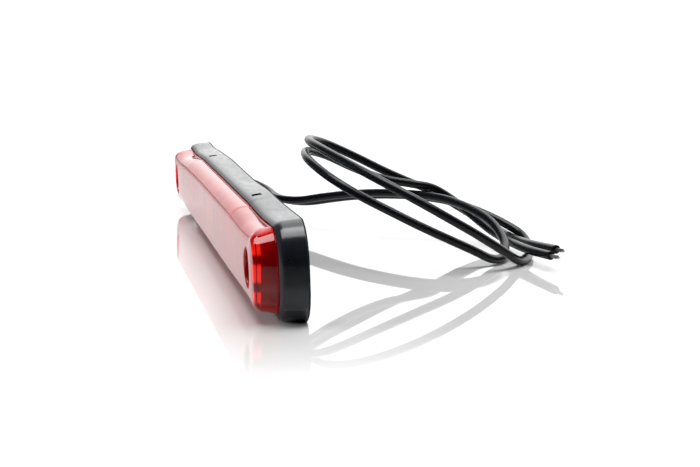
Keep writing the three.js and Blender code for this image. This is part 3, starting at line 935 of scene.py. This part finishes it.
def white_acrylic():
    """White body under a clear polished skin. The skin dulls in front of the lamp and far from it,
    where the sheet runs out into plain white for the camera. Other rays meet a greyer sheet,
    dark past the near end, so that the lens isn't washed out. Distances are in metres."""
    material = bpy.data.materials.new("polished white acrylic")
    material.use_nodes = True
    tree = material.node_tree
    tree.nodes.clear()
    where = object_coords(tree)
    axes = add_node(tree, "ShaderNodeSeparateXYZ", links={"Vector": where})
    seen = add_node(tree, "ShaderNodeLightPath").outputs["Is Camera Ray"]
    dim = add_node(tree, "ShaderNodeMath", settings=MULTIPLY, values={1: 0.5},
                   links={0: fade(tree, axes.outputs["X"], 0.145, 0.215)})
    bright = add_node(tree, "ShaderNodeMath", settings=MULTIPLY,
                      values={1: 0.70}, links={0: seen})
    tone = add_node(tree, "ShaderNodeMath", settings=LARGER,
                    links={0: dim.outputs["Value"], 1: bright.outputs["Value"]})
    body = add_node(tree, "ShaderNodeBsdfDiffuse", links={"Color": tone.outputs["Value"]})
    skin = add_node(tree, "ShaderNodeBsdfGlossy",
                    values={"Color": grey(1.0), "Roughness": 0.02})
    clear = add_node(tree, "ShaderNodeFresnel", values={"IOR": 1.6})
    away = add_node(tree, "ShaderNodeVectorMath", settings={"operation": "LENGTH"},
                    links={0: where}).outputs["Value"]
    polish = clear.outputs["Fac"]
    for limit in (fade(tree, axes.outputs["X"], 0.15, 0.20),
                  fade(tree, axes.outputs["Y"], -0.04, -0.12), fade(tree, away, 0.22, 0.36)):
        polish = add_node(tree, "ShaderNodeMath", settings=MULTIPLY,
                          links={0: polish, 1: limit}).outputs["Value"]
    sheet = add_node(tree, "ShaderNodeMixShader", links={
        0: polish, 1: body.outputs["BSDF"], 2: skin.outputs["BSDF"]})
    white = add_node(tree, "ShaderNodeEmission", values={"Color": grey(1.0), "Strength": 1.1})
    plain = add_node(tree, "ShaderNodeMath", settings=LARGER, links={
        0: fade(tree, away, 0.34, 0.18), 1: fade(tree, axes.outputs["X"], 0.19, 0.128)})
    shown = add_node(tree, "ShaderNodeMath", settings=MULTIPLY,
                     links={0: plain.outputs["Value"], 1: seen})
    mix = add_node(tree, "ShaderNodeMixShader", links={
        0: shown.outputs["Value"],
        1: sheet.outputs["Shader"], 2: white.outputs["Emission"]})
    add_node(tree, "ShaderNodeOutputMaterial", links={"Surface": mix.outputs["Shader"]})
    return material


finish_with(floor, white_acrylic())

# %% Light
world = bpy.data.worlds.new("studio")
bpy.context.scene.world = world
world.use_nodes = True
sky = world.node_tree
sky.nodes.clear()
direction = add_node(sky, "ShaderNodeTexCoord").outputs["Generated"]
flat = add_node(sky, "ShaderNodeVectorMath", settings=MULTIPLY,
                links={0: direction}, values={1: (1, 1, 0)})
level = add_node(sky, "ShaderNodeVectorMath", settings={"operation": "NORMALIZE"},
                 links={0: flat.outputs["Vector"]})
axis = add_node(sky, "ShaderNodeSeparateXYZ", links={"Vector": level.outputs["Vector"]})
far_end = fade(sky, axis.outputs["X"], -0.30, 0.10)
back_side = fade(sky, axis.outputs["Y"], 0.10, -0.48)
high = add_node(sky, "ShaderNodeSeparateXYZ", links={"Vector": direction})
taller = add_node(sky, "ShaderNodeMapRange", links={"Value": high.outputs["Z"]},
                  values={"From Min": 0.3, "From Max": 0.8, "To Min": 1.0, "To Max": 1.6})
brightness = taller.outputs["Result"]
for part in (far_end, back_side):
    brightness = add_node(sky, "ShaderNodeMath", settings=MULTIPLY,
                          links={0: brightness, 1: part}).outputs["Value"]
glow = add_node(sky, "ShaderNodeBackground", links={"Color": brightness},
                values={"Strength": 1.45})
plain = add_node(sky, "ShaderNodeBackground", values={"Color": grey(1.0), "Strength": 1.4})
seen = add_node(sky, "ShaderNodeLightPath")
both = add_node(sky, "ShaderNodeMixShader", links={
    0: seen.outputs["Is Camera Ray"], 1: glow.outputs["Background"], 2: plain.outputs["Background"]})
add_node(sky, "ShaderNodeOutputWorld", links={"Surface": both.outputs["Shader"]})


def soft_box(name, place_at, look_at, size, power):
    """A rectangular soft light that faces a point."""
    data = bpy.data.lights.new(name, "AREA")
    data.shape = "RECTANGLE"
    data.size, data.size_y = size
    data.energy = power
    lamp = bpy.data.objects.new(name, data)
    lamp.location = place_at
    aim = Vector(look_at) - Vector(place_at)
    lamp.rotation_euler = aim.to_track_quat("-Z", "Y").to_euler()
    bpy.context.scene.collection.objects.link(lamp)
    return lamp


soft_box("overhead soft box", (0.097, 0.0, 0.85), (0.097, 0.0, 0.0), (0.497, 0.75), 7.0)
fill = soft_box("front fill", (-0.05, -0.80, 0.28), (0.0, 0.0, 0.01), (0.60, 0.50), 6.5)
fill.visible_glossy = False
fill.visible_transmission = False
bpy.context.scene.view_settings.view_transform = "Standard"
